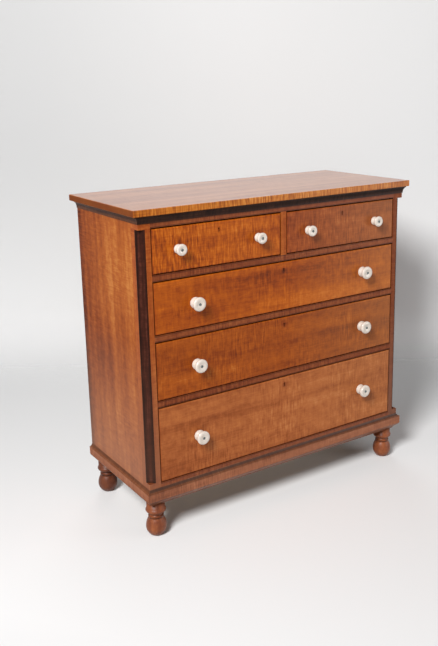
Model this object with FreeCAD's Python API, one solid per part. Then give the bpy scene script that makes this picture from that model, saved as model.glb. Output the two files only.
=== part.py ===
import FreeCAD, Part
import math
import os

# A flat-front chest of drawers in figured maple: two short drawers over three long ones,
# stopped chamfers on the front corners, a cove cornice, a moulded base and four turned feet.
# Millimetres. X runs along the width, the front faces -Y, +Z is up, the feet stand at zero.

# Case and top
case_width = 1030.0
case_depth = 426.0
overall_height = 1037.0
top_thickness = 20.0
top_side_overhang = 20.0
top_front_overhang = 16.0
top_back_overhang = 15.0
top_easing = 1.5
side_thickness = 22.0
side_tongue_length = 10.0
side_tongue_thickness = 8.0
back_thickness = 12.0
back_rabbet_width = 11.0
back_board_count = 3
back_lap = 10.0

# Corner posts with their stopped chamfers
post_width = 39.0
post_depth = 45.0
chamfer_leg = 20.0
chamfer_stop = 17.0
strip_thickness = 1.5

# Rails and divider
bottom_rail_reveal = 12.5
rail_thickness = 19.5
top_rail_height = 37.5
divider_width = 20.0
tenon_length = 18.0
tenon_depth = 25.0
rail_tenon_height = 10.0
bottom_tenon_height = 20.0
divider_tenon_length = 6.0
divider_tenon_width = 9.0
top_tail_length = 20.0
top_tail_height = 20.0
top_tail_width = 20.0

# Runners, guides, kickers and drawer stops
runner_reach = 63.0
guide_height = 12.0
guide_gap = 1.0
centre_runner_width = 90.0
centre_guide_height = 24.0
kicker_width = 40.0
kicker_thickness = 20.0
stop_length = 40.0
stop_depth = 20.0
stop_height = 6.0

# Cornice under the top
cornice_height = 23.0
cornice_projection = 10.0
cornice_lower_fillet = 2.0
cornice_upper_fillet = 4.0

# Base frame, moulded outside and rabbeted to carry the case
base_bottom = 112.0
base_ogee_height = 23.0
base_band_height = 26.0
base_cove_height = 12.0
base_projection = 10.0
base_undercut = 9.0
base_rabbet = 23.0
base_bar_width = 68.0

# Turned feet
foot_inset = 35.0
foot_tenon_radius = 12.5
foot_tenon_length = 30.0
foot_disc_radius = 29.0
foot_disc_height = 20.0
foot_ring_radius = 32.3
foot_ring_height = 12.5
foot_neck_radius = 18.5
foot_neck_height = 12.0
foot_fillet_radius = 24.5
foot_fillet_height = 5.0
foot_bulb_radius = 32.7
foot_waist_radius = 22.0
foot_sole_radius = 15.5

# Drawers
drawer_side_gap = 3.5
drawer_top_gap = 4.5
drawer_bottom_gap = 2.5
drawer_back_gap = 14.0
front_thickness = 22.0
front_easing = 3.0
front_lap = 7.0
board_thickness = 12.0
side_drop = 3.0
back_drop = 5.0
bottom_thickness = 9.0
bottom_tongue = 6.0
bottom_bevel = 35.0
groove_rise = 12.0
groove_depth = 5.0
tail_pitch = 42.0
fewest_tails = 2

# Locks and keyholes
lock_width = 62.0
lock_height = 40.0
lock_depth = 10.0
selvage_depth = 15.0
selvage_thickness = 2.0
keyhole_drop = 22.0
keyhole_radius = 3.0
keyhole_slot_width = 3.2
keyhole_slot_length = 10.0

# Knobs, small on the short drawers and large on the long ones
small_knob_radius = 17.8
small_knob_reach = 27.0
large_knob_radius = 22.0
large_knob_reach = 32.0
short_knob_inset = 86.0
long_knob_inset = 138.0
knob_seat_radius = 4.5

# Fits
fit_clearance = 0.3
overrun = 5.0

# Graded drawer openings, from the lowest up, as shares of the height that the rails leave
opening_shares = (0.333, 0.253, 0.224, 0.19)

# Shape shares
dovetail_slope_share = 1.0 / 6.0
tail_tip_share = 0.8
stop_place_share = 0.6
cornice_bow_share = 0.26
cove_bow_share = 0.34
ogee_bow_share = 0.15
belly_share = 0.47
knob_foot_shares = (0.8, 0.0)
knob_neck_shares = (0.64, 0.42)
knob_under_shares = (0.94, 0.69)
knob_rim_shares = (1.0, 0.8)
knob_face_shares = (0.83, 1.0)
knob_dish_share = 0.94

# Levels and faces that several pieces share
half_width = case_width / 2
case_front = large_knob_reach - (large_knob_reach + case_depth + top_back_overhang) / 2
case_back = case_front + case_depth
top_under = overall_height - top_thickness
base_band_low = base_bottom + base_ogee_height
base_band_high = base_band_low + base_band_height
base_top = base_band_high + base_cove_height
case_bottom = base_top - base_rabbet
cornice_bottom = top_under - cornice_height
frame_back = case_front + post_depth
back_inner = case_back - back_thickness
opening_half = half_width - post_width
side_inner = half_width - side_thickness
bottom_rail_top = base_top + bottom_rail_reveal
top_rail_bottom = top_under - top_rail_height
free_height = top_rail_bottom - bottom_rail_top - (len(opening_shares) - 1) * rail_thickness
openings = [share * free_height for share in opening_shares]
lowest_opening, third_opening, second_opening, upper_opening = openings
lower_rail_top = bottom_rail_top + lowest_opening + rail_thickness
middle_rail_top = lower_rail_top + third_opening + rail_thickness
upper_rail_top = middle_rail_top + second_opening + rail_thickness


def vec(x, y, z):
    return FreeCAD.Vector(x, y, z)


def box(x_low, x_high, y_low, y_high, z_low, z_high):
    return Part.makeBox(x_high - x_low, y_high - y_low, z_high - z_low, vec(x_low, y_low, z_low))


def prism(points, travel):
    return Part.Face(Part.makePolygon(points + points[:1])).extrude(travel)


def mirrored(shape):
    return shape.mirror(vec(0, 0, 0), vec(1, 0, 0))


def cylinder_along_y(radius, x, y_low, y_high, z):
    return Part.makeCylinder(radius, y_high - y_low, vec(x, y_low, z), vec(0, 1, 0))


def save(name, *solids):
    shape = solids[0] if len(solids) == 1 else Part.makeCompound(list(solids))
    shape.exportStep("parts/" + name + ".step")


def bowed(start, end, corner, share):
    """Middle point of an arc from start to end that bows towards the given corner."""
    middle = [(a + b) / 2 for a, b in zip(start, end)]
    return tuple(m + share * (c - m) for m, c in zip(middle, corner))


def outline(start, steps, place):
    """Closed wire from a start point and steps: (end) is a line, (middle, end) is an arc."""
    edges = []
    here = start
    for step in steps + [(start,)]:
        end = step[-1]
        if len(step) == 1:
            edges.append(Part.makeLine(place(*here), place(*end)))
        else:
            edges.append(Part.Arc(place(*here), place(*step[0]), place(*end)).toShape())
        here = end
    return Part.Wire(edges)


def swell(point, belly):
    """Middle of the arc between a point and the widest or narrowest point of a turning, upright there."""
    drop = belly[0] - point[0]
    rise = point[1] - belly[1]
    radius = (drop ** 2 + rise ** 2) / (2 * drop)
    half_turn = math.atan(drop / rise)
    return belly[0] - radius * (1 - math.cos(half_turn)), belly[1] + radius * math.sin(half_turn)


def mitred_run(start, steps, inner, outer):
    """Front bar and left return of one section (outward distance, height), mitred at the corner."""
    reach = outer + overrun
    depth = inner + overrun
    tall = vec(0, 0, overall_height)
    front_section = outline(start, steps, lambda u, z: vec(-half_width - reach, case_front - u, z))
    front_bar = Part.Face(front_section).extrude(vec(case_width + 2 * reach, 0, 0))
    front_keep = prism([vec(-half_width - reach, case_front - reach, 0),
                        vec(half_width + reach, case_front - reach, 0),
                        vec(half_width - depth, case_front + depth, 0),
                        vec(-half_width + depth, case_front + depth, 0)], tall)
    side_section = outline(start, steps, lambda u, z: vec(-half_width - u, case_front - reach, z))
    side_bar = Part.Face(side_section).extrude(vec(0, case_depth + reach, 0))
    side_keep = prism([vec(-half_width - reach, case_front - reach, 0),
                       vec(-half_width + depth, case_front + depth, 0),
                       vec(-half_width + depth, case_back, 0),
                       vec(-half_width - reach, case_back, 0)], tall)
    return front_bar.common(front_keep).Solids[0], side_bar.common(side_keep).Solids[0]


def make_top():
    half_length = half_width + top_side_overhang
    board = box(-half_length, half_length,
                case_front - top_front_overhang, case_back + top_back_overhang, top_under, overall_height)
    save("top_board", board.makeChamfer(top_easing, board.Edges))


def make_cornice():
    lower = (cornice_lower_fillet, cornice_bottom + cornice_lower_fillet)
    upper = (cornice_projection - cornice_lower_fillet, top_under - cornice_upper_fillet)
    hollow = bowed(lower, upper, (lower[0], upper[1]), cornice_bow_share)
    steps = [((lower[0], cornice_bottom),), (lower,), (hollow, upper), ((cornice_projection, upper[1]),),
             ((cornice_projection, top_under),), ((0, top_under),)]
    front, left = mitred_run((0, cornice_bottom), steps, 0, cornice_projection)
    save("cornice_front", front)
    save("cornice_returns", left, mirrored(left))


def make_foot_and_base():
    """Foot turned to profile, and the base frame bored for the tenons of the feet."""
    disc_low = base_bottom - foot_disc_height
    ring_low = disc_low - foot_ring_height
    neck_low = ring_low - foot_neck_height
    bulb_top = neck_low - foot_fillet_height
    tenon_top = base_bottom + foot_tenon_length
    sole = (foot_sole_radius, 0)
    belly = (foot_bulb_radius, belly_share * bulb_top)
    waist = (foot_waist_radius, bulb_top)
    flare = (foot_waist_radius, neck_low)
    neck = (foot_neck_radius, ring_low)
    steps = [(sole,), (swell(sole, belly), belly), (swell(waist, belly), waist),
             ((foot_fillet_radius, bulb_top),), ((foot_fillet_radius, neck_low),), (flare,),
             (swell(flare, neck), neck), ((foot_disc_radius, ring_low),),
             ((foot_ring_radius, (ring_low + disc_low) / 2), (foot_disc_radius, disc_low)),
             ((foot_disc_radius, base_bottom),), ((foot_tenon_radius, base_bottom),),
             ((foot_tenon_radius, tenon_top),), ((0, tenon_top),)]
    profile = outline((0, 0), steps, lambda radius, z: vec(radius, 0, z))
    foot = Part.Face(profile).revolve(vec(0, 0, 0), vec(0, 0, 1), 360)

    cove_top = (0, base_top)
    cove_foot = (base_projection, base_band_high)
    cove_middle = bowed(cove_top, cove_foot, (0, base_band_high), cove_bow_share)
    middle = ((base_projection - base_undercut) / 2, (base_band_low + base_bottom) / 2)
    band_edge = (base_projection, base_band_low)
    low_edge = (-base_undercut, base_bottom)
    round_middle = bowed(band_edge, middle, (base_projection, middle[1]), ogee_bow_share)
    hollow_middle = bowed(middle, low_edge, (-base_undercut, middle[1]), ogee_bow_share)
    steps = [(cove_middle, cove_foot), (band_edge,), (round_middle, middle), (hollow_middle, low_edge),
             ((-base_bar_width, base_bottom),), ((-base_bar_width, case_bottom),), ((0, case_bottom),)]
    front, left = mitred_run(cove_top, steps, base_bar_width, base_projection)
    foot_x = half_width - foot_inset
    for name, y in (("front_feet", case_front + foot_inset), ("back_feet", case_back - foot_inset)):
        save(name, *[foot.translated(vec(x, y, 0)) for x in (-foot_x, foot_x)])
        for x in (-foot_x, foot_x):
            bore = Part.makeCylinder(foot_tenon_radius + fit_clearance,
                                     foot_tenon_length + fit_clearance + overrun,
                                     vec(x, y, base_bottom - overrun))
            front = front.cut(bore)
            left = left.cut(bore)
    save("base_front", front.Solids[0])
    save("base_returns", left.Solids[0], mirrored(left.Solids[0]))


def make_rail(z_low, z_high, tenon_height):
    """Rail between the posts with a stub tenon at each end."""
    body = box(-opening_half, opening_half, case_front, frame_back, z_low, z_high)
    middle_y = (case_front + frame_back) / 2
    middle_z = (z_low + z_high) / 2
    reach = opening_half + tenon_length
    tenon = box(-reach, reach, middle_y - tenon_depth / 2, middle_y + tenon_depth / 2,
                middle_z - tenon_height / 2, middle_z + tenon_height / 2)
    return body.fuse(tenon).removeSplitter()


def make_top_rail():
    """Top rail, let down into the tops of the posts with a dovetail at each end."""
    body = box(-opening_half, opening_half, case_front, frame_back, top_rail_bottom, top_under)
    middle_y = (case_front + frame_back) / 2
    tip = opening_half + top_tail_length
    tip_half = top_tail_width / 2 + top_tail_length * dovetail_slope_share
    points = [vec(opening_half, middle_y - top_tail_width / 2, top_under - top_tail_height),
              vec(tip, middle_y - tip_half, top_under - top_tail_height),
              vec(tip, middle_y + tip_half, top_under - top_tail_height),
              vec(opening_half, middle_y + top_tail_width / 2, top_under - top_tail_height)]
    tail = prism(points, vec(0, 0, top_tail_height))
    return body.fuse([tail, mirrored(tail)]).removeSplitter()


def make_case():
    """Posts, sides, rails, divider, runners, stops and back boards."""
    rails = [make_rail(top - rail_thickness, top, rail_tenon_height)
             for top in (lower_rail_top, middle_rail_top, upper_rail_top)]
    bottom_rail = make_rail(case_bottom, bottom_rail_top, bottom_tenon_height)
    top_rail = make_top_rail()

    middle_y = (case_front + frame_back) / 2
    divider = box(-divider_width / 2, divider_width / 2,
                  case_front, frame_back, upper_rail_top, top_rail_bottom)
    stub = box(-divider_tenon_width / 2, divider_tenon_width / 2,
               middle_y - tenon_depth / 2, middle_y + tenon_depth / 2,
               upper_rail_top - divider_tenon_length, top_rail_bottom + divider_tenon_length)
    divider = divider.fuse(stub).removeSplitter()
    top_rail = top_rail.cut(divider)
    rails[-1] = rails[-1].cut(divider)
    save("drawer_divider", divider)
    save("top_rail", top_rail.Solids[0])
    save("bottom_rail", bottom_rail)
    save("drawer_rails", *[rail.Solids[0] for rail in rails])

    side = box(-half_width, -side_inner, frame_back, case_back, case_bottom, top_under)
    tongue_low = -half_width + (side_thickness - side_tongue_thickness) / 2
    tongue = box(tongue_low, tongue_low + side_tongue_thickness, frame_back - side_tongue_length, frame_back,
                 case_bottom, top_under)
    rabbet = box(-side_inner - back_rabbet_width, -side_inner + overrun, back_inner, case_back + overrun,
                 case_bottom - overrun, top_under + overrun)
    side = side.fuse(tongue).removeSplitter().cut(rabbet)
    save("side_left", side.Solids[0])
    save("side_right", mirrored(side.Solids[0]))

    post = box(-half_width, -opening_half, case_front, frame_back, case_bottom, top_under)
    bed_leg = chamfer_leg + strip_thickness * math.sqrt(2.0)
    chamfer_low = base_top + chamfer_stop
    chamfer_rise = vec(0, 0, cornice_bottom - chamfer_stop - chamfer_low)
    bed = [vec(-half_width - overrun, case_front + bed_leg + overrun, chamfer_low),
           vec(-half_width - overrun, case_front - overrun, chamfer_low),
           vec(-half_width + bed_leg + overrun, case_front - overrun, chamfer_low)]
    strip = [vec(-half_width, case_front + chamfer_leg, chamfer_low),
             vec(-half_width + chamfer_leg, case_front, chamfer_low),
             vec(-half_width + bed_leg, case_front, chamfer_low),
             vec(-half_width, case_front + bed_leg, chamfer_low)]
    post = post.cut([prism(bed, chamfer_rise), tongue, bottom_rail, top_rail] + rails)
    save("post_left", post.Solids[0])
    save("post_right", mirrored(post.Solids[0]))
    left_strip = prism(strip, chamfer_rise)
    save("post_strips", left_strip, mirrored(left_strip))

    save("drawer_runners", *make_runners())
    save("drawer_stops", *make_stops())
    save("back_boards", *make_back_boards())


def make_runners():
    """Side runners with a guide lip, one middle runner, and kickers above the short drawers."""
    length = vec(0, back_inner - frame_back, 0)
    guide_inner = opening_half - drawer_side_gap + guide_gap
    runners = []
    for rail_top in (bottom_rail_top, lower_rail_top, middle_rail_top, upper_rail_top):
        low = rail_top - rail_thickness
        track = rail_top + drawer_bottom_gap
        lip = track + guide_height
        points = [vec(-side_inner, frame_back, low), vec(-side_inner + runner_reach, frame_back, low),
                  vec(-side_inner + runner_reach, frame_back, track), vec(-guide_inner, frame_back, track),
                  vec(-guide_inner, frame_back, lip), vec(-side_inner, frame_back, lip)]
        runner = prism(points, length)
        runners += [runner, mirrored(runner)]
    half = centre_runner_width / 2
    guide_half = divider_width / 2 + drawer_side_gap - guide_gap
    low = upper_rail_top - rail_thickness
    track = upper_rail_top + drawer_bottom_gap
    points = [vec(-half, frame_back, low), vec(half, frame_back, low), vec(half, frame_back, track),
              vec(guide_half, frame_back, track), vec(guide_half, frame_back, track + centre_guide_height),
              vec(-guide_half, frame_back, track + centre_guide_height), vec(-guide_half, frame_back, track),
              vec(-half, frame_back, track)]
    runners.append(prism(points, length))
    kicker_top = top_rail_bottom + kicker_thickness
    side_kicker = box(-side_inner, -side_inner + kicker_width,
                      frame_back, back_inner, top_rail_bottom, kicker_top)
    middle_kicker = box(-kicker_width / 2, kicker_width / 2,
                        frame_back, back_inner, top_rail_bottom, kicker_top)
    return runners + [side_kicker, mirrored(side_kicker), middle_kicker]


def make_stops():
    """Blocks on the rails that meet the backs of the closed drawer fronts."""
    front_inner = case_front + front_thickness
    place = stop_place_share * opening_half
    middle = (opening_half + divider_width / 2) / 2
    stops = []
    for rail_top, x in ((bottom_rail_top, place), (lower_rail_top, place), (middle_rail_top, place),
                        (upper_rail_top, middle)):
        stop = box(x - stop_length / 2, x + stop_length / 2, front_inner, front_inner + stop_depth,
                   rail_top, rail_top + stop_height)
        stops += [stop, mirrored(stop)]
    return stops


def make_back_boards():
    """Horizontal boards in the rabbets of the sides, lapped one over the next."""
    reach = side_inner + back_rabbet_width
    pitch = (top_under - case_bottom) / back_board_count
    lap_face = back_inner + back_thickness / 2
    boards = []
    for index in range(back_board_count):
        low = case_bottom + index * pitch
        high = low + pitch
        board = box(-reach, reach, back_inner, case_back, low, high)
        if index < back_board_count - 1:
            board = board.cut(box(-reach - overrun, reach + overrun, lap_face, case_back + overrun,
                                  high - back_lap, high + overrun))
        if index > 0:
            board = board.fuse(box(-reach, reach, lap_face, case_back, low - back_lap, low)).removeSplitter()
        boards.append(board)
    return boards


def tail_row(x_low, x_high, y_root, y_tip, z_low, z_high):
    """Row of dovetails that widen from y_root to y_tip, one per pitch of the height."""
    count = max(fewest_tails, round((z_high - z_low) / tail_pitch))
    pitch = (z_high - z_low) / count
    tip_half = pitch * tail_tip_share / 2
    root_half = tip_half - abs(y_tip - y_root) * dovetail_slope_share
    tails = []
    for index in range(count):
        middle = z_low + (index + 1 / 2) * pitch
        points = [vec(x_low, y_root, middle - root_half), vec(x_low, y_root, middle + root_half),
                  vec(x_low, y_tip, middle + tip_half), vec(x_low, y_tip, middle - tip_half)]
        tails.append(prism(points, vec(x_high - x_low, 0, 0)))
    return tails


def make_knob(radius, reach):
    """Porcelain knob turned about the Y axis at the origin, facing -Y, dished towards its screw."""
    foot, neck, under, rim, face = [(share * radius, out * reach) for share, out in (
        knob_foot_shares, knob_neck_shares, knob_under_shares, knob_rim_shares, knob_face_shares)]
    seat = knob_dish_share * reach
    steps = [(foot,), (neck,), (under,), (swell(under, rim), rim), (swell(face, rim), face),
             ((knob_seat_radius, seat),), ((0, seat),)]
    profile = outline((0, 0), steps, lambda distance, out: vec(distance, -out, 0))
    return Part.Face(profile).revolve(vec(0, 0, 0), vec(0, 1, 0), 360)


def make_lock(middle, top):
    """Closed lock let into the back of the front, with its selvage in the top edge."""
    rear = case_front + front_thickness
    left = middle - lock_width / 2
    right = middle + lock_width / 2
    body = box(left, right, rear - lock_depth, rear, top - lock_height, top)
    selvage = box(left, right, rear - selvage_depth, rear, top - selvage_thickness, top)
    return body.fuse(selvage).removeSplitter()


def make_keyhole(middle, top):
    """Round hole over a slot, cut from before the front back to the lock."""
    height = top - keyhole_drop
    y_low = case_front - overrun
    y_high = case_front + front_thickness - lock_depth
    hole = cylinder_along_y(keyhole_radius, middle, y_low, y_high, height)
    slot = box(middle - keyhole_slot_width / 2, middle + keyhole_slot_width / 2, y_low, y_high,
               height - keyhole_slot_length, height)
    return hole.fuse(slot)


def make_drawer(name, x_low, x_high, rail_top, opening, knob_radius, knob_reach, knob_inset):
    """Drawer with lapped dovetails in front, through ones behind and a bevelled bottom in grooves."""
    low = rail_top + drawer_bottom_gap
    high = rail_top + opening - drawer_top_gap
    side_high = high - side_drop
    back_low = low + groove_rise + bottom_tongue
    back_high = side_high - back_drop
    front_inner = case_front + front_thickness
    rear = back_inner - drawer_back_gap
    back_face = rear - board_thickness
    middle = (x_low + x_high) / 2

    side_face = x_low + board_thickness
    left_front_tails = tail_row(x_low, side_face, front_inner, case_front + front_lap, low, side_high)
    left_back_tails = tail_row(x_low, side_face, back_face, rear, back_low, back_high)
    move = vec(x_high - x_low - board_thickness, 0, 0)
    right_front_tails = [tail.translated(move) for tail in left_front_tails]
    right_back_tails = [tail.translated(move) for tail in left_back_tails]

    bottom = make_drawer_bottom(x_low, x_high, low, front_inner, rear)
    front = box(x_low, x_high, case_front, front_inner, low, high)
    face_edges = [edge for edge in front.Edges
                  if all(abs(corner.Point.y - case_front) < front_easing for corner in edge.Vertexes)]
    front = front.makeFillet(front_easing, face_edges)
    lock = make_lock(middle, high)
    keyhole = make_keyhole(middle, high)
    front_groove = box(side_face - groove_depth, x_high - board_thickness + groove_depth,
                       front_inner - groove_depth, front_inner + overrun, low + groove_rise, back_low)
    knob_z = (low + high) / 2
    knob_places = [vec(x, case_front, knob_z) for x in (x_low + knob_inset, x_high - knob_inset)]
    front = front.cut(left_front_tails + right_front_tails + [lock, keyhole, front_groove])
    save(name + "_front", front.Solids[0])
    save(name + "_lock", lock)

    back = box(x_low, x_high, back_face, rear, back_low, back_high).cut(left_back_tails + right_back_tails)
    save(name + "_back", back.Solids[0])
    save(name + "_bottom", bottom)

    side = box(x_low, side_face, front_inner, rear, low, side_high)
    pins = box(x_low - overrun, side_face + overrun, back_face, rear + overrun, back_low, back_high)
    side = side.cut(pins.cut(left_back_tails)).fuse(left_front_tails).removeSplitter()
    groove = box(side_face - groove_depth, side_face + overrun,
                 front_inner - groove_depth, rear + overrun, low + groove_rise, back_low)
    side = side.cut(groove).Solids[0]
    save(name + "_left_side", side)
    save(name + "_right_side", side.mirror(vec(middle, 0, 0), vec(1, 0, 0)))

    knob = make_knob(knob_radius, knob_reach)
    save(name + "_knobs", *[knob.translated(spot) for spot in knob_places])


def make_drawer_bottom(x_low, x_high, low, front_inner, rear):
    """Bottom panel bevelled underneath at the front and both sides down to a tongue."""
    left = x_low + board_thickness - groove_depth
    right = x_high - board_thickness + groove_depth
    front_edge = front_inner - groove_depth
    top = low + groove_rise + bottom_tongue
    tongue_low = top - bottom_tongue
    under = top - bottom_thickness
    points = [vec(left, front_edge, top), vec(left, front_edge, tongue_low),
              vec(left + groove_depth, front_edge, tongue_low),
              vec(left + bottom_bevel, front_edge, under),
              vec(right - bottom_bevel, front_edge, under),
              vec(right - groove_depth, front_edge, tongue_low),
              vec(right, front_edge, tongue_low), vec(right, front_edge, top)]
    panel = prism(points, vec(0, rear - front_edge, 0))
    outside = left - overrun
    wedge = [vec(outside, front_edge - overrun, under - overrun),
             vec(outside, front_edge - overrun, tongue_low),
             vec(outside, front_edge + groove_depth, tongue_low),
             vec(outside, front_edge + bottom_bevel, under),
             vec(outside, front_edge + bottom_bevel, under - overrun)]
    return panel.cut(prism(wedge, vec(right - left + 2 * overrun, 0, 0))).Solids[0]


make_top()
make_cornice()
make_foot_and_base()
make_case()

long_half = opening_half - drawer_side_gap
short_inner = divider_width / 2 + drawer_side_gap
make_drawer("upper_left_drawer", -long_half, -short_inner, upper_rail_top, upper_opening,
            small_knob_radius, small_knob_reach, short_knob_inset)
make_drawer("upper_right_drawer", short_inner, long_half, upper_rail_top, upper_opening,
            small_knob_radius, small_knob_reach, short_knob_inset)
make_drawer("second_drawer", -long_half, long_half, middle_rail_top, second_opening,
            large_knob_radius, large_knob_reach, long_knob_inset)
make_drawer("third_drawer", -long_half, long_half, lower_rail_top, third_opening,
            large_knob_radius, large_knob_reach, long_knob_inset)
make_drawer("lowest_drawer", -long_half, long_half, bottom_rail_top, lowest_opening,
            large_knob_radius, large_knob_reach, long_knob_inset)
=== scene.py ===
import bmesh
import bpy
import math
from mathutils import Matrix, Vector


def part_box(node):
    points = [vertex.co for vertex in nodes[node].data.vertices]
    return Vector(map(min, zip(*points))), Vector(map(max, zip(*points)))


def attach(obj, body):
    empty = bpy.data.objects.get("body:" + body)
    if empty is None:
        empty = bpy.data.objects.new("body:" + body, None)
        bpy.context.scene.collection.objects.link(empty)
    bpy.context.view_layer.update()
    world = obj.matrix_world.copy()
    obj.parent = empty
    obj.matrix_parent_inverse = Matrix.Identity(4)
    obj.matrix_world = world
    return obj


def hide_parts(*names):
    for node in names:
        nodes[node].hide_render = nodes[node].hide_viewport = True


# Flat-front chest of drawers in curly maple: two short drawers over three long ones, porcelain knobs.
# Metres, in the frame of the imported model: the front faces -Y and the feet stand on the floor at zero.

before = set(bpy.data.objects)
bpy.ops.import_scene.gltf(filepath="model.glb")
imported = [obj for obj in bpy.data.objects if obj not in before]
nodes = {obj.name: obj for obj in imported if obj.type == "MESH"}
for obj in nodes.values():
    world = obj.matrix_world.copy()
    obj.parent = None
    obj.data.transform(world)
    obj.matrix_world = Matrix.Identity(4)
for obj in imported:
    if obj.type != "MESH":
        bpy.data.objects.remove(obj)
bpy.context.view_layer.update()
drawers = ("upper_left_drawer", "upper_right_drawer", "second_drawer", "third_drawer", "lowest_drawer")
mm = 0.001
print("frame loaded with", len(nodes), "nodes")


def hexColour(text):
    shares = [int(text[place:place + 2], 16) / 255 for place in (1, 3, 5)]
    linear = [share / 12.92 if share <= 0.04045 else ((share + 0.055) / 1.055) ** 2.4 for share in shares]
    return linear + [1.0]


def addNode(tree, kind, inputs=None, **settings):
    node = tree.nodes.new(kind)
    for name, value in settings.items():
        setattr(node, name, value)
    for name, value in (inputs or {}).items():
        if isinstance(value, bpy.types.NodeSocket):
            tree.links.new(value, node.inputs[name])
        else:
            node.inputs[name].default_value = value
    return node


# The shader nodes used most. Each gives the socket to link from.
def noiseNode(tree, place, size, detail, roughness=0.5):
    return addNode(tree, "ShaderNodeTexNoise", {"Vector": place, "Scale": 1 / size, "Detail": detail,
                                                "Roughness": roughness}).outputs[0]


def rangeNode(tree, value, span, result=(0, 1), easing="LINEAR"):
    ends = {0: value, 1: span[0], 2: span[1], 3: result[0], 4: result[1]}
    return addNode(tree, "ShaderNodeMapRange", ends, interpolation_type=easing).outputs[0]


def numberNode(tree, operation, *values, **settings):
    inputs = dict(enumerate(values))
    return addNode(tree, "ShaderNodeMath", inputs, operation=operation, **settings).outputs[0]


def vectorNode(tree, operation, *values, result="Vector"):
    inputs = dict(enumerate(values))
    return addNode(tree, "ShaderNodeVectorMath", inputs, operation=operation).outputs[result]


def colourMix(tree, share, first, second):
    return addNode(tree, "ShaderNodeMix", {0: share, 6: first, 7: second}, data_type="RGBA").outputs[2]


def shaderMix(tree, share, first, second):
    return addNode(tree, "ShaderNodeMixShader", {0: share, 1: first, 2: second}).outputs[0]


def objectPlace(tree):
    return addNode(tree, "ShaderNodeTexCoord").outputs["Object"]


def newMaterial(name):
    material = bpy.data.materials.new(name)
    material.use_nodes = True
    material.node_tree.nodes.clear()
    return material, material.node_tree


def paint(material, *names):
    for name in names:
        mesh = nodes[name].data
        mesh.materials.clear()
        mesh.materials.append(material)


# Wood, sawn and planed. Pattern X runs along the fibres. Lengths are in mm, but shift and sway in metres.
grainTurn = {"x": (0, 0, 0), "y": (0, 0, -math.pi / 2), "z": (0, math.pi / 2, 0)}
grainAxis = {"x": (1, 0, 0), "y": (0, 1, 0), "z": (0, 0, 1)}
grainForm = {"swaySize": 110, "bandLength": 900, "fibreLength": 90, "fibreWidth": 2.2, "bumpDepth": 0.4,
             "rippleSpan": (0.32, 0.68), "patchSpan": (0.38, 0.62), "drawnSpan": (0.3, 0.7),
             "middleTone": 0.5, "facingSpan": (0.6, 0.95), "toneSpan": (-0.6, 0.6), "duller": 0.07,
             "glossier": 0.05, "ior": 1.5}


def stretched(tree, place, length, width):
    return vectorNode(tree, "MULTIPLY", place, (1 / length, 1 / width, 1 / width))


def grainLayer(tree, pattern, depth):
    return rangeNode(tree, pattern, grainForm["drawnSpan"], (-depth, depth))


def spotNearness(tree, place, spot):
    shrink = [1 / (size * mm) for size in spot["size"]]
    middle = [-at / size for at, size in zip(spot["at"], spot["size"])]
    away = vectorNode(tree, "MULTIPLY_ADD", place, shrink, middle)
    return rangeNode(tree, vectorNode(tree, "LENGTH", away, result="Value"), (0, 1), (1, 0), "SMOOTHSTEP")


def colourRamp(tree, level, stops):
    ramp = addNode(tree, "ShaderNodeValToRGB", {"Fac": level})
    elements = ramp.color_ramp.elements
    elements.remove(elements[0])
    elements[0].position = 0
    elements[0].color = hexColour(stops[0])
    for index, stop in enumerate(stops[1:], 1):
        elements.new(index / (len(stops) - 1)).color = hexColour(stop)
    return ramp.outputs[0]


def washed(tree, along, surface, wash):
    start, full, ebb, end = [edge * mm for edge in wash["band"]]
    rise = rangeNode(tree, along, (start, full))
    fall = rangeNode(tree, along, (ebb, end), (wash["share"], 0))
    return colourMix(tree, numberNode(tree, "MULTIPLY", rise, fall), surface, hexColour(wash["colour"]))


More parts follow.
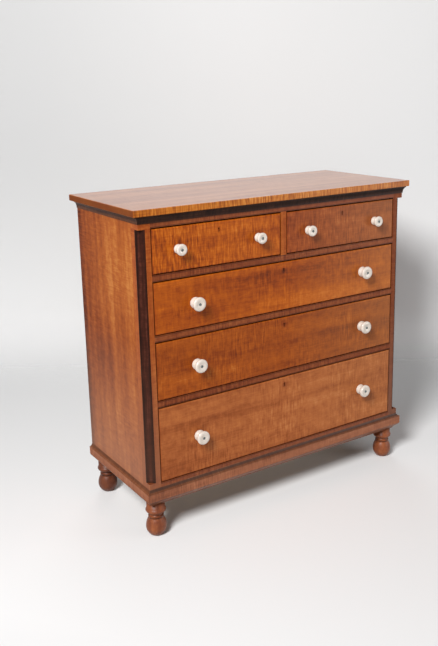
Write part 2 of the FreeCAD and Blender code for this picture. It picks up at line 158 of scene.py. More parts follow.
def plankWood(name, look):
    material, tree = newMaterial(name)
    place = addNode(tree, "ShaderNodeTexCoord").outputs
    board = addNode(tree, "ShaderNodeMapping", {"Vector": place["Object"], "Location": look["shift"],
                                                "Rotation": grainTurn[look["grain"]]}).outputs[0]
    slow = addNode(tree, "ShaderNodeTexNoise", {"Vector": board, "Scale": 1 / (grainForm["swaySize"] * mm),
                                                "Detail": 2})
    lean = vectorNode(tree, "SUBTRACT", slow.outputs["Color"], (0.5, 0.5, 0.5))
    bent = vectorNode(tree, "MULTIPLY_ADD", lean, look["sway"], board)

    # Curl: ripples that lie across the fibres and come and go in patches.
    curlPlace = stretched(tree, bent, look["curlSpacing"] * mm / 2, look["curlReach"] * mm)
    curl = noiseNode(tree, curlPlace, 1, detail=1.5, roughness=0.45)
    ripple = rangeNode(tree, curl, grainForm["rippleSpan"], (-1, 1))
    patches = noiseNode(tree, board, look["patch"] * mm, detail=1)
    curlShare = rangeNode(tree, patches, grainForm["patchSpan"], (look["curlLeast"], look["curlMost"]))

    # Soft spots, in mm, where this board is lighter or darker and its curl stronger or weaker.
    spotTone = 0.0
    for spot in look["spots"]:
        near = spotNearness(tree, place["Object"], spot)
        if "curl" in spot:
            curlShare = numberNode(tree, "MULTIPLY_ADD", near, spot["curl"], curlShare)
        if "tone" in spot:
            spotTone = numberNode(tree, "MULTIPLY_ADD", near, spot["tone"], spotTone)
    curled = numberNode(tree, "MULTIPLY", ripple, curlShare)

    # Growth bands along the board, and fibre lines drawn about 2 mm wide, coarser than real, so they show.
    bandPlace = stretched(tree, bent, grainForm["bandLength"] * mm, look["band"] * mm)
    bands = noiseNode(tree, bandPlace, 1, detail=3, roughness=0.55)
    fibrePlace = stretched(tree, bent, grainForm["fibreLength"] * mm, grainForm["fibreWidth"] * mm)
    fibres = noiseNode(tree, fibrePlace, 1, detail=2)
    mottle = noiseNode(tree, bent, look["mottle"] * mm, detail=4, roughness=0.65)
    drawn = numberNode(tree, "ADD", grainLayer(tree, bands, look["bandDepth"]),
                       grainLayer(tree, mottle, look["mottleDepth"]))
    grown = numberNode(tree, "ADD", drawn, grainLayer(tree, fibres, look["fibreDepth"]))
    tone = numberNode(tree, "ADD", grown, curled)
    shifted = numberNode(tree, "ADD", tone, spotTone)
    level = numberNode(tree, "ADD", shifted, grainForm["middleTone"], use_clamp=True)
    surface = colourRamp(tree, level, look["colours"])

    # Washes: bands along one axis, in mm, that were stained darker, or where shade or sheen is painted.
    spread = addNode(tree, "ShaderNodeSeparateXYZ", {0: place["Object"]}).outputs
    for wash in look["washes"]:
        surface = washed(tree, spread[wash.get("axis", "Z")], surface, wash)

    # End grain drinks more finish and is darker and duller. Only faces that look up are waxed.
    facing = vectorNode(tree, "DOT_PRODUCT", place["Normal"], grainAxis[look["grain"]], result="Value")
    endShare = rangeNode(tree, numberNode(tree, "ABSOLUTE", facing), grainForm["facingSpan"],
                         (0, look["endShare"]))
    colour = colourMix(tree, endShare, surface, hexColour(look["endColour"]))
    polish = rangeNode(tree, tone, grainForm["toneSpan"], (look["roughness"] + grainForm["duller"],
                                                           look["roughness"] - grainForm["glossier"]))
    shine = addNode(tree, "ShaderNodeMix", {0: endShare, 2: polish, 3: look["endRoughness"]}).outputs[0]
    upward = vectorNode(tree, "DOT_PRODUCT", place["Normal"], (0, 0, 1), result="Value")
    waxed = rangeNode(tree, upward, grainForm["facingSpan"], (0, look["coat"]))
    bump = addNode(tree, "ShaderNodeBump", {"Strength": look["bump"], "Distance": grainForm["bumpDepth"] * mm,
                                            "Height": grown}).outputs[0]
    shader = addNode(tree, "ShaderNodeBsdfPrincipled",
                     {"Base Color": colour, "Roughness": shine, "IOR": grainForm["ior"],
                      "Specular IOR Level": look["specular"], "Coat Weight": waxed,
                      "Coat Roughness": look["coatRoughness"], "Normal": bump})
    addNode(tree, "ShaderNodeOutputMaterial", {"Surface": shader.outputs[0]})
    return material


def paintWood(materialName, look, *names):
    paint(plankWood(materialName, look), *names)


# Curly maple, planed and finished in old shellac: warm orange brown, ripples across the grain, soft gloss.
curlyMaple = {"grain": "x", "shift": (0, 0, 0), "sway": (0.012, 0.012, 0.012), "curlSpacing": 10,
              "curlReach": 45, "patch": 170, "curlLeast": 0.03, "curlMost": 0.14, "band": 45,
              "bandDepth": 0.14, "fibreDepth": 0.07, "mottle": 22, "mottleDepth": 0.13,
              "spots": (), "washes": (), "colours": ("#4C1A03", "#883A06", "#AE560C", "#C8782C"),
              "endColour": "#6A3014", "endShare": 0.8, "endRoughness": 0.7, "roughness": 0.44, "bump": 0.1,
              "specular": 0.16, "coat": 0, "coatRoughness": 0.2}
# Painted sheen: the lower part of each side is mixed towards a pale pinkish tan.
paintedLowSheen = {"band": (0, 1, 200, 640), "colour": "#A68470", "share": 0.32}
# Towards the bottom the posts turn a darker, greyer brown, and the dark strips a little browner.
lowGreyBrown = {"band": (0, 1, 250, 640), "colour": "#7A5848", "share": 0.54}
# Painted sheen: the drawer fronts are mixed towards a pale tan towards the right.
paintedRightSheen = {"axis": "X", "band": (0, 450, 900, 901), "colour": "#AD8559", "share": 0.18}
sideMaple = {"grain": "z", "band": 60, "bandDepth": 0.26, "curlMost": 0.1, "curlSpacing": 8,
             "specular": 0.06, "roughness": 0.45, "washes": (paintedLowSheen,),
             "colours": ("#4A1C08", "#7C3812", "#9C521E", "#BA7638")}
postMaple = {"grain": "z", "curlMost": 0.12, "band": 30, "specular": 0.08, "washes": (lowGreyBrown,),
             "colours": ("#54210B", "#8A4018", "#A65925", "#BA783C")}
farAlong = 5000        # longer than any board, for spots that run its whole length
boardLooks = {
    "top_board": dict(
        shift=(0.3, 1.7, 0.2), curlLeast=0.02, curlMost=0.08, curlSpacing=9, mottleDepth=0.05,
        roughness=0.3, coat=0.77, endColour="#5C2A10", endRoughness=0.9,
        colours=("#522309", "#8E4812", "#B46920", "#CC8D46"),
        spots=({"at": (0, -221, 1027), "size": (farAlong, 8, 300), "curl": 0.22, "tone": 0.03},
               {"at": (0, 40, 1037), "size": (60, 40, 40), "tone": -0.1},
               {"at": (-600, 0, 1037), "size": (500, 500, 500), "tone": -0.06})),
    "side_left": dict(
        sideMaple, shift=(1.1, 0.4, 2.3),
        spots=({"at": (-515, 240, 600), "size": (200, 110, 900), "tone": -0.55},
               {"at": (-515, 60, 520), "size": (200, 130, 200), "tone": -0.3},
               {"at": (-515, -90, 850), "size": (200, 200, 260), "tone": 0.25})),
    "side_right": dict(
        sideMaple, shift=(4.2, 3.4, 1.3),
        spots=({"at": (515, 240, 600), "size": (200, 95, 900), "tone": -0.3},
               {"at": (515, -40, 460), "size": (200, 80, 140), "tone": -0.2},
               {"at": (515, -60, 800), "size": (200, 180, 280), "tone": 0.15})),
    "post_left": dict(postMaple, shift=(2.1, 5.4, 0.3)),
    "post_right": dict(
        postMaple, shift=(3.7, 2.4, 6.3), colours=("#3E180A", "#683018", "#804426", "#965E3C")),
    "upper_left_drawer_front": dict(
        shift=(5.0, 0.7, 0.9), curlSpacing=7.5, curlReach=30, curlLeast=0.12, curlMost=0.2,
        spots=({"at": (-420, -204, 900), "size": (190, 200, 130), "curl": 0.1},
               {"at": (-240, -204, 920), "size": (180, 200, 130), "tone": 0.04})),
    "upper_right_drawer_front": dict(
        washes=(paintedRightSheen,), shift=(7.3, 1.1, 2.2), curlLeast=0.05, curlMost=0.16,
        colours=("#42170A", "#742F0C", "#974817", "#B06A38")),
    "second_drawer_front": dict(
        washes=(paintedRightSheen,), shift=(1.9, 8.1, 3.5), curlLeast=0.03, curlMost=0.1,
        spots=({"at": (130, -204, 682), "size": (480, 200, 46), "tone": 0.24},
               {"at": (-20, -204, 772), "size": (460, 200, 62), "tone": -0.24})),
    "third_drawer_front": dict(
        washes=(paintedRightSheen,), shift=(6.4, 4.3, 5.1), curlLeast=0.04, curlMost=0.16,
        colours=("#441604", "#7A3306", "#9E4D0E", "#BA6E2C")),
    "lowest_drawer_front": dict(
        washes=({**paintedRightSheen, "share": 0.08},), shift=(2.6, 6.2, 7.7), curlLeast=0.03, curlMost=0.14,
        bandDepth=0.16, specular=0.2, colours=("#5A260E", "#88441A", "#A85F2E", "#C0804C"),
        spots=({"at": (120, -204, 320), "size": (420, 200, 160), "tone": 0.14},
               {"at": (-430, -204, 200), "size": (200, 200, 130), "tone": -0.12})),
}
# Along a drawer's edges: wear and a painted highlight on the top edge, grime and painted shade on the lower
# and side edges; grime round its keyhole.
rim = {"width": 5, "upper": 0.06, "lower": -0.25, "side": -0.12}
keyholeGrime = {"drop": 26, "size": (11, 60, 15), "tone": -0.3}


def edgeSpots(name):
    low, high = [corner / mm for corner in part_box(name)]
    middle = (low + high) / 2
    spots = []
    for z, tone in ((high.z, rim["upper"]), (low.z, rim["lower"])):
        spots.append({"at": (middle.x, middle.y, z), "size": (farAlong, farAlong, rim["width"]),
                      "tone": tone})
    for x in (low.x, high.x):
        spots.append({"at": (x, middle.y, middle.z), "size": (rim["width"], farAlong, farAlong),
                      "tone": rim["side"]})
    spots.append({"at": (middle.x, low.y, high.z - keyholeGrime["drop"]), "size": keyholeGrime["size"],
                  "tone": keyholeGrime["tone"]})
    return tuple(spots)


for piece, look in boardLooks.items():
    finish = {**curlyMaple, **look}
    if piece.endswith("_front"):
        finish["spots"] = finish["spots"] + edgeSpots(piece)
    paintWood("curlyMaple." + piece, finish, piece)

# Rails of maple that took the stain redder and darker, with painted shade where they meet the drawers.
seamShade = {"gapBelow": 2.5, "gapAbove": 4.5, "reach": 4, "fade": 1, "colour": "#2C0D03", "share": 0.6}


def softBand(low, high, fade, colour, share):
    return {"band": (low, low + fade, high - fade, high), "colour": colour, "share": share}


def shadedSeamBand(low, high):
    return softBand(low, high, seamShade["fade"], seamShade["colour"], seamShade["share"])


# The rails are painted darker in bands beside each drawer's gaps, as painted shade.
seams = []
for name in drawers[1:]:        # the two upper drawers share their seams
    low, high = [corner.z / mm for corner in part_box(name + "_front")]
    sill = low - seamShade["gapBelow"]
    head = high + seamShade["gapAbove"]
    seams.append(shadedSeamBand(sill - seamShade["reach"], sill))
    seams.append(shadedSeamBand(head, head + seamShade["reach"]))
railMaple = {**curlyMaple, "colours": ("#421806", "#6C3014", "#864622", "#9C5E34"), "curlMost": 0.2,
             "band": 25, "roughness": 0.4}
seamedRail = {**railMaple, "shift": (3.1, 0.2, 4.4), "washes": seams}
paintWood("stainedMaple.rails", seamedRail, "top_rail", "drawer_rails")
paintWood("stainedMaple.bottomRail", {**seamedRail, "specular": 0.3}, "bottom_rail")
paintWood("stainedMaple.divider", {**railMaple, **postMaple, "shift": (0.4, 3.2, 1.4)}, "drawer_divider")

# The base frame is paler, with a cove stained dark above its band, deepened by painted shade, and painted
# shade on the moulding below it.
# The hollows of the feet are painted darker, as painted shade.
baseMaple = {**railMaple, "colours": ("#542A19", "#80482C", "#985D3D", "#B07E5E"), "curlMost": 0.2,
             "curlLeast": 0.08, "specular": 0.3}
# The cove's stain, widened onto the band and deepened by painted shade; lighter on the returns, where light
# falls.
coveStainAndShade = {"band": (157, 165, 170, 175), "colour": "#1C0D06", "share": 0.85}
# Painted shade on the moulding under the band.
shadedUnderside = {"band": (90, 91, 132, 136), "colour": "#231007", "share": 0.35}
leftCorner = {"at": (-500, -215, 145), "size": (190, 200, 80), "tone": -0.2}
# Painted shade in the hollows of the feet.
grooveShade = {"hollows": ((60, 66), (77, 81)), "fade": 1, "colour": "#240C05", "share": 0.5}
paintWood("stainedMaple.base", {**baseMaple, "shift": (8.1, 2.2, 0.4), "spots": (leftCorner,),
                                "washes": (coveStainAndShade, shadedUnderside)}, "base_front")
paintWood("stainedMaple.returns", {**baseMaple, "grain": "y", "shift": (8.1, 5.2, 3.4), "specular": 0.08,
                                   "washes": ({**coveStainAndShade, "share": 0.6}, shadedUnderside)}, "base_returns")
turnedMaple = {**railMaple, "grain": "z", "roughness": 0.38, "specular": 0.28, "endShare": 0.2,
               "curlLeast": 0, "curlMost": 0.03, "mottleDepth": 0.14,
               "washes": [softBand(low, high, grooveShade["fade"], grooveShade["colour"],
                                   grooveShade["share"]) for low, high in grooveShade["hollows"]]}
paintWood("turnedMaple.front", {**turnedMaple, "shift": (1.5, 9.2, 0.6),
                                "colours": ("#3C180C", "#6A341C", "#8A4C2A", "#A4663E")}, "front_feet")
# The back feet are painted darker than the front ones, as painted shade.
paintWood("turnedMaple.back", {**turnedMaple, "shift": (4.5, 1.2, 0.6),
                               "colours": ("#2C1109", "#502615", "#6A3820", "#804E30")}, "back_feet")
print("show wood painted")

# Unfinished poplar inside and behind: pale, dry and dusty, with broad soft growth bands.
rawPoplar = {**curlyMaple, "colours": ("#8A6A44", "#AC8A5E", "#C2A377", "#D2B88E"), "curlLeast": 0,
             "curlMost": 0.05, "band": 16, "bandDepth": 0.22, "fibreDepth": 0.15, "mottleDepth": 0.08,
             "endColour": "#94744C", "roughness": 0.72, "specular": 0.3, "bump": 0.3}
paintWood("rawPoplar.across", {**rawPoplar, "shift": (2.2, 0.6, 1.9)}, "drawer_stops",
          *[name + "_back" for name in drawers], *[name + "_bottom" for name in drawers])
paintWood("rawPoplar.deep", {**rawPoplar, "grain": "y", "shift": (0.7, 4.1, 3.9)}, "drawer_runners",
          *[name + "_left_side" for name in drawers], *[name + "_right_side" for name in drawers])

# The back boards have browned. The middle one is darker, and the lapped seams are dark lines.
backLook = {"boards": 3, "seam": 4, "fade": 1, "seamColour": "#160D07", "seamShare": 0.8,
            "middleColour": "#4E3420", "middleShare": 0.3, "nailInset": 7, "nailRows": 6}
backLow, backHigh = [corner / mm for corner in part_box("back_boards")]
boardPitch = (backHigh.z - backLow.z) / backLook["boards"]
middleLow = backLow.z + boardPitch
middleHigh = backLow.z + 2 * boardPitch
backWashes = [{"band": (middleLow - backLook["fade"], middleLow, middleHigh, middleHigh + backLook["fade"]),
               "colour": backLook["middleColour"], "share": backLook["middleShare"]}]
for index in range(1, backLook["boards"]):
    joint = backLow.z + index * boardPitch
    backWashes.append({"band": (joint - backLook["seam"], joint - backLook["fade"], joint,
                                joint + backLook["fade"]),
                       "colour": backLook["seamColour"], "share": backLook["seamShare"]})
paintWood("rawPoplar.behind", {**rawPoplar, "colours": ("#5E3C22", "#805834", "#9A6E46", "#B08658"),
                               "shift": (5.2, 7.6, 0.9), "washes": backWashes}, "back_boards")
print("inside wood painted")

# Ebonised wood: near-black stain under shellac that lets a little brown through, with a soft grey sheen.
ebonised = {**curlyMaple, "colours": ("#160A05", "#24120A", "#341C11", "#4E2E1E"), "endColour": "#1E0F08",
            "curlLeast": 0.1, "curlMost": 0.2, "bandDepth": 0.2, "band": 12, "roughness": 0.4,
            "specular": 0.12}
paintWood("ebonisedWood.front", {**ebonised, "shift": (1.3, 0.5, 2.2)}, "cornice_front")
# The returns are painted lighter than the front, as painted light and sheen.
paintWood("ebonisedWood.returns", {**ebonised, "grain": "y", "shift": (4.4, 2.5, 0.3), "specular": 0.06,
                                   "colours": ("#28120A", "#40200F", "#54301C", "#6A442C")},
          "cornice_returns")
paintWood("ebonisedWood.strips", {**ebonised, "grain": "z", "shift": (0.9, 6.5, 3.2), "specular": 0.1,
                                  "washes": ({**lowGreyBrown, "share": 0.12},), "bandDepth": 0.36,
                                  "curlLeast": 0.02, "curlMost": 0.06,
                                  "colours": ("#0C0402", "#200B05", "#38180E", "#5C3226")}, "post_strips")
print("dark trim painted")

# Porcelain, glazed white: faintly warm, glassy, with a little grime here and there.
porcelain = {"glaze": "#CEC3B8", "grime": "#B8A797", "cloud": 12, "grimeSpan": (0.5, 0.8), "grimeShare": 0.5,
             "dullSpan": (0.4, 0.8), "roughness": 0.12, "dulling": 0.12, "ior": 1.52}
knobGlaze, tree = newMaterial("glazedPorcelain")
cloud = noiseNode(tree, objectPlace(tree), porcelain["cloud"] * mm, detail=4)
grimeShare = rangeNode(tree, cloud, porcelain["grimeSpan"], (0, porcelain["grimeShare"]))
colour = colourMix(tree, grimeShare, hexColour(porcelain["glaze"]), hexColour(porcelain["grime"]))
shine = rangeNode(tree, cloud, porcelain["dullSpan"],
                  (porcelain["roughness"], porcelain["roughness"] + porcelain["dulling"]))
shader = addNode(tree, "ShaderNodeBsdfPrincipled", {"Base Color": colour, "Roughness": shine,
                                                    "IOR": porcelain["ior"]})
addNode(tree, "ShaderNodeOutputMaterial", {"Surface": shader.outputs[0]})

# Forged and filed metal, browned with age: dull grey with rusty blotches.
metalForm = {"rustSpan": (0.4, 0.65), "dullSpan": (0.3, 0.7), "dulling": 0.2, "bump": 0.25, "bumpDepth": 0.3}


def agedMetal(name, look):
    material, tree = newMaterial(name)
    blotch = noiseNode(tree, objectPlace(tree), look["blotch"] * mm, detail=5)
    rustShare = rangeNode(tree, blotch, metalForm["rustSpan"])
    colour = colourMix(tree, rustShare, hexColour(look["metal"]), hexColour(look["rust"]))
    shine = rangeNode(tree, blotch, metalForm["dullSpan"],
                      (look["roughness"], look["roughness"] + metalForm["dulling"]))
    bump = addNode(tree, "ShaderNodeBump", {"Strength": metalForm["bump"], "Height": blotch,
                                            "Distance": metalForm["bumpDepth"] * mm}).outputs[0]
    shader = addNode(tree, "ShaderNodeBsdfPrincipled", {"Base Color": colour, "Metallic": look["metallic"],
                                                        "Roughness": shine, "Normal": bump})
    addNode(tree, "ShaderNodeOutputMaterial", {"Surface": shader.outputs[0]})
    return material


lockIron = agedMetal("brownedIron", {"metal": "#5A5450", "rust": "#43302A", "blotch": 9, "roughness": 0.5,
                                     "metallic": 0.85})
screwSteel = agedMetal("dullSteel", {"metal": "#7C8483", "rust": "#555350", "blotch": 2, "roughness": 0.5,
                                     "metallic": 0.8})
paint(lockIron, *[name + "_lock" for name in drawers])
print("fittings painted")

# Edges that turn by more than these angles, in degrees, stay sharp. Points nearer than weldReach are one.
turnedSharp = 40
mouldingSharp = 25
weldReach = 1e-6


# Shapes turned about an axis: the profile is (radius, height) in metres.
def turnedMesh(name, profile, segments):
    shape = bmesh.new()
    line = [shape.verts.new((radius, 0, height)) for radius, height in profile]
    for low, high in zip(line, line[1:]):
        shape.edges.new((low, high))
    bmesh.ops.spin(shape, geom=shape.verts[:] + shape.edges[:], cent=(0, 0, 0), axis=(0, 0, 1),
                   angle=2 * math.pi, steps=segments, use_merge=True)
    bmesh.ops.remove_doubles(shape, verts=shape.verts, dist=weldReach)
    bmesh.ops.recalc_face_normals(shape, faces=shape.faces)
    mesh = bpy.data.meshes.new(name)
    shape.to_mesh(mesh)
    shape.free()
    mesh.shade_smooth()
    mesh.set_sharp_from_angle(angle=math.radians(turnedSharp))
    return mesh


# One tree sets a shape out in rows: knobs, screws and nails all use it.
def rowsTree():
    tree = bpy.data.node_groups.new("fittingRows", "GeometryNodeTree")
    sockets = (("Geometry", "Geometry"), ("First Place", "Vector"), ("Count Across", "Int"),
               ("Spacing Across", "Float"), ("Count Up", "Int"), ("Spacing Up", "Float"), ("Turn", "Float"),
               ("Seed", "Int"), ("Finish", "Material"))
    for name, kind in sockets:
        tree.interface.new_socket(name, in_out="INPUT", socket_type="NodeSocket" + kind)
    tree.interface.new_socket("Geometry", in_out="OUTPUT", socket_type="NodeSocketGeometry")
    given = addNode(tree, "NodeGroupInput").outputs
    acrossStep = addNode(tree, "ShaderNodeCombineXYZ", {"X": given["Spacing Across"]}).outputs[0]
    upStep = addNode(tree, "ShaderNodeCombineXYZ", {"Z": given["Spacing Up"]}).outputs[0]
    row = addNode(tree, "GeometryNodeMeshLine", {"Count": given["Count Across"], "Offset": acrossStep,
                                                 "Start Location": given["First Place"]}).outputs[0]
    column = addNode(tree, "GeometryNodeMeshLine", {"Count": given["Count Up"], "Offset": upStep}).outputs[0]
    grid = addNode(tree, "GeometryNodeInstanceOnPoints", {"Points": row, "Instance": column}).outputs[0]
    spots = addNode(tree, "GeometryNodeRealizeInstances", {0: grid}).outputs[0]
    turn = addNode(tree, "ShaderNodeCombineXYZ", {"Y": given["Turn"]}).outputs[0]
    spin = addNode(tree, "FunctionNodeRandomValue", {1: turn, "Seed": given["Seed"]},
                   data_type="FLOAT_VECTOR").outputs[0]
    placed = addNode(tree, "GeometryNodeInstanceOnPoints", {"Points": spots, "Instance": given["Geometry"],
                                                            "Rotation": spin}).outputs[0]
    real = addNode(tree, "GeometryNodeRealizeInstances", {0: placed}).outputs[0]
    done = addNode(tree, "GeometryNodeSetMaterial", {"Geometry": real, "Material": given["Finish"]})
    addNode(tree, "NodeGroupOutput", {0: done.outputs[0]})
    return tree


fittingRows = rowsTree()


def setOut(name, mesh, body, slot, **inputs):
    piece = bpy.data.objects.new(name, mesh.copy())
    bpy.context.scene.collection.objects.link(piece)
    modifier = piece.modifiers.new("rows", "NODES")
    modifier.node_group = fittingRows
    for item in fittingRows.interface.items_tree:
        if item.in_out == "INPUT" and item.name in inputs:
            modifier[item.identifier] = inputs[item.name]
    plain = bpy.data.meshes.new_from_object(piece.evaluated_get(bpy.context.evaluated_depsgraph_get()))
    piece.modifiers.clear()
    piece.data = plain
    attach(piece, body)
    return piece


# Knobs: a round foot against the drawer, a waist, and a head with a shallow dish for the screw.
# The profile is in shares of the knob's radius and reach. Screws and nails are in mm.
knobLook = {"profile": ((0.0, 0.0), (0.78, 0.0), (0.8, 0.03), (0.81, 0.09), (0.79, 0.17), (0.73, 0.26),
                        (0.66, 0.35), (0.645, 0.43), (0.67, 0.51), (0.75, 0.58), (0.86, 0.645), (0.945, 0.7),
                        (0.99, 0.76), (1.0, 0.81), (0.985, 0.87), (0.94, 0.93), (0.86, 0.975), (0.76, 0.995),
                        (0.66, 1.0), (0.5, 0.985), (0.34, 0.96), (0.24, 0.945), (0.0, 0.94)),
            "segments": 56, "dish": 0.94}
screwLook = {"radius": 4.5, "domeHeight": 0.8, "slotHalf": 0.6, "seat": 0.3, "segments": 20,
             "seatSegments": 32, "lipShare": 0.8}
lockScrewLook = {"scale": 0.62, "across": 46, "up": 24, "drop": 33, "firstSeed": 20}
nailLook = {"profile": ((0, 0), (3.2, 0), (2.9, 0.6), (1.7, 1.0), (0, 1.1)), "segments": 14}


def screwMesh():
    # two closed half domes with a slot between them, on a thin round seat
    radius, half, rise, seat = [screwLook[size] * mm for size in ("radius", "slotHalf", "domeHeight", "seat")]
    seatProfile = ((0, 0), (radius, 0), (radius, seat), (0, seat))
    start = math.asin(half / radius)
    steps = screwLook["segments"]
    turns = [start + (math.pi - 2 * start) * step / steps for step in range(steps + 1)]
    shape = bmesh.new()
    shape.from_mesh(turnedMesh("screwSeat", seatProfile, screwLook["seatSegments"]))

    def halfRing(side, ringRadius, height):
        return [shape.verts.new((ringRadius * math.cos(turn), side * max(half, ringRadius * math.sin(turn)),
                                 height)) for turn in turns]

    for side in (1, -1):
        edge = halfRing(side, radius, seat)
        lip = halfRing(side, screwLook["lipShare"] * radius, seat + rise)
        for index in range(steps):
            shape.faces.new((edge[index], edge[index + 1], lip[index + 1], lip[index]))
        shape.faces.new(lip)
        shape.faces.new(edge)
        shape.faces.new((edge[0], lip[0], lip[-1], edge[-1]))
    bmesh.ops.recalc_face_normals(shape, faces=shape.faces)
    mesh = bpy.data.meshes.new("slottedScrew")
    shape.to_mesh(mesh)
    shape.free()
    return mesh


turnToFront = Matrix.Rotation(math.pi / 2, 4, "X")        # heights run out of the drawer, along -Y
turnToBack = Matrix.Rotation(-math.pi / 2, 4, "X")
screwHead = screwMesh()
lockScrew = screwHead.copy()
screwHead.transform(turnToFront)
lockScrew.transform(turnToBack @ Matrix.Scale(lockScrewLook["scale"], 4))
for index, name in enumerate(drawers):
    low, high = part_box(name + "_knobs")
    reach = high.y - low.y
    radius = (high.z - low.z) / 2
    first = (low.x + radius, high.y, (low.z + high.z) / 2)
    apart = high.x - low.x - 2 * radius
    knob = turnedMesh("knob", [(share * radius, out * reach) for share, out in knobLook["profile"]],
                      knobLook["segments"])
    knob.transform(turnToFront)
    pair = {"Count Across": 2, "Spacing Across": apart, "Count Up": 1, "Turn": math.pi}
    knobs = setOut(name + "_porcelain_knobs", knob, name, "porcelain",
                   **pair, **{"First Place": first, "Finish": knobGlaze})
    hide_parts(name + "_knobs")
    dish = (first[0], high.y - knobLook["dish"] * reach, first[2])
    setOut(name + "_knob_screws", screwHead, name, "lock_iron",
           **pair, **{"First Place": dish, "Finish": screwSteel, "Seed": index})
    lockLow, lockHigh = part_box(name + "_lock")
    corner = ((lockLow.x + lockHigh.x - lockScrewLook["across"] * mm) / 2, lockHigh.y,
              lockHigh.z - lockScrewLook["drop"] * mm)
    setOut(name + "_lock_screws", lockScrew, name, "lock_iron",
           **{"First Place": corner, "Count Across": 2, "Spacing Across": lockScrewLook["across"] * mm,
              "Count Up": 2, "Spacing Up": lockScrewLook["up"] * mm, "Turn": math.pi,
              "Seed": lockScrewLook["firstSeed"] + index, "Finish": screwSteel})
nail = turnedMesh("nail", [(radius * mm, height * mm) for radius, height in nailLook["profile"]],
                  nailLook["segments"])
nail.transform(turnToBack)
nailGap = (backHigh.z - backLow.z) / backLook["nailRows"]
firstNail = ((backLow.x + backLook["nailInset"]) * mm, backHigh.y * mm, (backLow.z + nailGap / 2) * mm)
setOut("back_nails", nail, "case", "lock_iron",
       **{"First Place": firstNail, "Count Across": 2,
          "Spacing Across": (backHigh.x - backLow.x - 2 * backLook["nailInset"]) * mm,
          "Count Up": backLook["nailRows"], "Spacing Up": nailGap * mm, "Finish": lockIron})
print("knobs, screws and nails made")


# Mouldings and feet keep their solids' shapes, with the curves shaded smooth.
def smoothed(name):
    mesh = nodes[name].data.copy()
    shape = bmesh.new()
    shape.from_mesh(mesh)
    bmesh.ops.remove_doubles(shape, verts=shape.verts, dist=weldReach)
    shape.to_mesh(mesh)
    shape.free()
    mesh.shade_smooth()
    mesh.set_sharp_from_angle(angle=math.radians(mouldingSharp))
    piece = bpy.data.objects.new(name + "_smooth", mesh)
    bpy.context.scene.collection.objects.link(piece)
    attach(piece, "case")
    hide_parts(name)
    return piece


for name, slot in (("front_feet", "rail_maple"), ("back_feet", "rail_maple"), ("base_front", "rail_maple"),
                   ("base_returns", "rail_maple"), ("cornice_front", "ebonised_wood"),
                   ("cornice_returns", "ebonised_wood")):
    smoothed(name)
print("mouldings and feet smoothed")

# Studio: a pale floor that fades into haze far away, a pale wall behind that is only seen from the front,
# a large soft lamp at upper left and gentle fills.
studio = {"floorNear": "#B8B8B8", "floorAway": "#E9E9E9", "floorTurn": (2.0, 3.3), "floorHalf": 9.0,
          "haze": (1.3, 3.0), "seen": "#E9E9EA", "fill": 0.17,
          "wallLow": "#E0E0E0", "wallLeft": "#C4C4C4", "wallRight": "#D4D4D4", "wallTurn": (-1.1, 0.1),
          "wallHigh": (0.1, 1.2), "wallFoot": (0.0, 0.4), "wallEnds": (1.15, 2.0),
          "wallWay": Vector((0.5553, 0.8317, 0)), "wallPlace": 0.78, "wallHalfWidth": 6.0, "wallHeight": 4.5,
          "keyPlace": (-3.56, -2.38, 3.79), "keyAim": (0.4, 0.25, 0.6), "keySize": 1.7, "keyPower": 185,
          "keySpread": 130,
          "sideFillPlace": (2.4, -2.4, 0.8), "sideFillSize": (1.5, 0.95), "sideFillPower": 18,
          "backFillPlace": (1.6, 3.4, 2.6), "backFillSize": 2.6, "backFillPower": 36}


def lookedAt(tree):
    path = addNode(tree, "ShaderNodeLightPath").outputs
    mirrored = numberNode(tree, "ADD", path["Is Camera Ray"], path["Is Glossy Ray"])
    return numberNode(tree, "ADD", mirrored, path["Is Transmission Ray"], use_clamp=True)


# The floor paper is greyer near the key lamp, so the lit floor keeps an even tone.
floorPaper, tree = newMaterial("floorPaper")
place = objectPlace(tree)
away = vectorNode(tree, "LENGTH", place, result="Value")
far = rangeNode(tree, away, studio["haze"], easing="SMOOTHSTEP")
farSeen = numberNode(tree, "MULTIPLY", far, lookedAt(tree))
keyFoot = (studio["keyPlace"][0], studio["keyPlace"][1], 0)
fromKey = vectorNode(tree, "DISTANCE", place, keyFoot, result="Value")
paleShare = rangeNode(tree, fromKey, studio["floorTurn"])
paper = colourMix(tree, paleShare, hexColour(studio["floorNear"]), hexColour(studio["floorAway"]))
shader = addNode(tree, "ShaderNodeBsdfDiffuse", {"Color": paper}).outputs[0]
haze = addNode(tree, "ShaderNodeEmission", {"Color": hexColour(studio["seen"]), "Strength": 1}).outputs[0]
addNode(tree, "ShaderNodeOutputMaterial", {"Surface": shaderMix(tree, farSeen, shader, haze)})

# The wall paper is darker to the left and higher up, and clear at its foot, its ends and from behind.
across = Vector((studio["wallWay"].y, -studio["wallWay"].x, 0))
wallPaper, tree = newMaterial("wallPaper")
place = objectPlace(tree)
height = addNode(tree, "ShaderNodeSeparateXYZ", {0: place}).outputs["Z"]
along = vectorNode(tree, "DOT_PRODUCT", place, across, result="Value")
rightward = rangeNode(tree, along, studio["wallTurn"], easing="SMOOTHSTEP")
wallTop = colourMix(tree, rightward, hexColour(studio["wallLeft"]), hexColour(studio["wallRight"]))
upward = rangeNode(tree, height, studio["wallHigh"], easing="SMOOTHSTEP")
wall = colourMix(tree, upward, hexColour(studio["wallLow"]), wallTop)
shader = addNode(tree, "ShaderNodeBsdfDiffuse", {"Color": wall}).outputs[0]
clear = addNode(tree, "ShaderNodeBsdfTransparent").outputs[0]
aboveFoot = rangeNode(tree, height, studio["wallFoot"], easing="SMOOTHSTEP")
sideways = numberNode(tree, "ABSOLUTE", along)
withinEnds = rangeNode(tree, sideways, studio["wallEnds"], (1, 0), "SMOOTHSTEP")
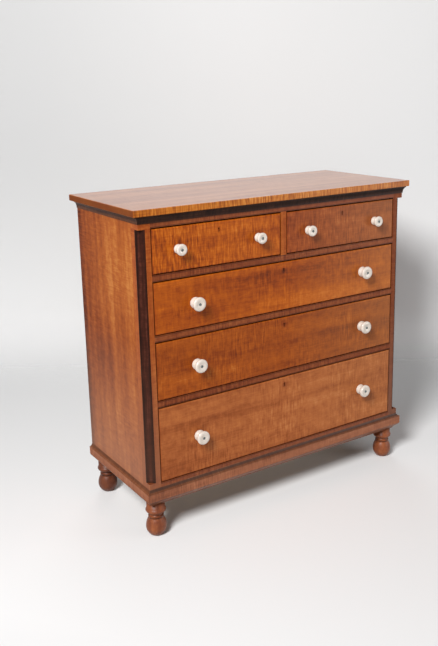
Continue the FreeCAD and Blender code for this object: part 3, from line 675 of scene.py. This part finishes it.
solid = numberNode(tree, "MULTIPLY", aboveFoot, withinEnds)
footed = shaderMix(tree, solid, clear, shader)
behind = addNode(tree, "ShaderNodeNewGeometry").outputs["Backfacing"]
addNode(tree, "ShaderNodeOutputMaterial", {"Surface": shaderMix(tree, behind, footed, clear)})


def studioSheet(name, corners, material):
    mesh = bpy.data.meshes.new(name)
    mesh.from_pydata(corners, [], [(0, 1, 2, 3)])
    mesh.materials.append(material)
    sheet = bpy.data.objects.new(name, mesh)
    bpy.context.scene.collection.objects.link(sheet)
    return sheet


half = studio["floorHalf"]
floorCorners = [(-half, -half, 0), (half, -half, 0), (half, half, 0), (-half, half, 0)]
studioFloor = studioSheet("studioFloor", floorCorners, floorPaper)
wallBase = studio["wallWay"] * studio["wallPlace"]
reach = across * studio["wallHalfWidth"]
rise = Vector((0, 0, studio["wallHeight"]))
wallCorners = [wallBase - reach, wallBase + reach, wallBase + reach + rise, wallBase - reach + rise]
studioWall = studioSheet("studioWall", wallCorners, wallPaper)
studioWall.visible_diffuse = False          # it is only seen, and takes no light from the back of the chest
studioWall.visible_shadow = False


def softLamp(name, shape, place, aim, power, **settings):
    lamp = bpy.data.lights.new(name, "AREA")
    lamp.shape = shape
    lamp.energy = power
    for setting, value in settings.items():
        setattr(lamp, setting, value)
    light = bpy.data.objects.new(name, lamp)
    light.location = place
    light.rotation_euler = (Vector(aim) - light.location).to_track_quat("-Z", "Y").to_euler()
    light.visible_camera = False
    bpy.context.scene.collection.objects.link(light)


softLamp("softKey", "DISK", studio["keyPlace"], studio["keyAim"], studio["keyPower"], size=studio["keySize"],
         spread=math.radians(studio["keySpread"]))
softLamp("backFill", "DISK", studio["backFillPlace"], studio["keyAim"], studio["backFillPower"],
         size=studio["backFillSize"])
softLamp("sideFill", "RECTANGLE", studio["sideFillPlace"], studio["keyAim"], studio["sideFillPower"],
         size=studio["sideFillSize"][0], size_y=studio["sideFillSize"][1])

world = bpy.data.worlds.new("studioRoom")
world.use_nodes = True
world.node_tree.nodes.clear()
tree = world.node_tree
fill = addNode(tree, "ShaderNodeBackground", {"Color": (1, 1, 1, 1), "Strength": studio["fill"]}).outputs[0]
seen = addNode(tree, "ShaderNodeBackground", {"Color": hexColour(studio["seen"]), "Strength": 1}).outputs[0]
addNode(tree, "ShaderNodeOutputWorld", {"Surface": shaderMix(tree, lookedAt(tree), fill, seen)})
bpy.context.scene.world = world
bpy.context.scene.view_settings.view_transform = "Standard"

# Camera, fitted to corners, edges and feet in the photograph.
cameraFit = {"place": (-1.5609, -2.2934, 1.3886), "yaw": -33.73, "pitch": -13.45, "roll": -1.02,
             "lens": 46.32, "shift": (-0.0343, -0.0696)}
lens = bpy.data.cameras.new("photoCamera")
lens.lens = cameraFit["lens"]
lens.shift_x, lens.shift_y = cameraFit["shift"]
camera = bpy.data.objects.new("photoCamera", lens)
turn = (Matrix.Rotation(math.radians(cameraFit["yaw"]), 4, "Z")
        @ Matrix.Rotation(math.radians(90 + cameraFit["pitch"]), 4, "X")
        @ Matrix.Rotation(math.radians(cameraFit["roll"]), 4, "Z"))
camera.matrix_world = Matrix.Translation(cameraFit["place"]) @ turn
bpy.context.scene.collection.objects.link(camera)
bpy.context.scene.camera = camera
print("studio and camera set")
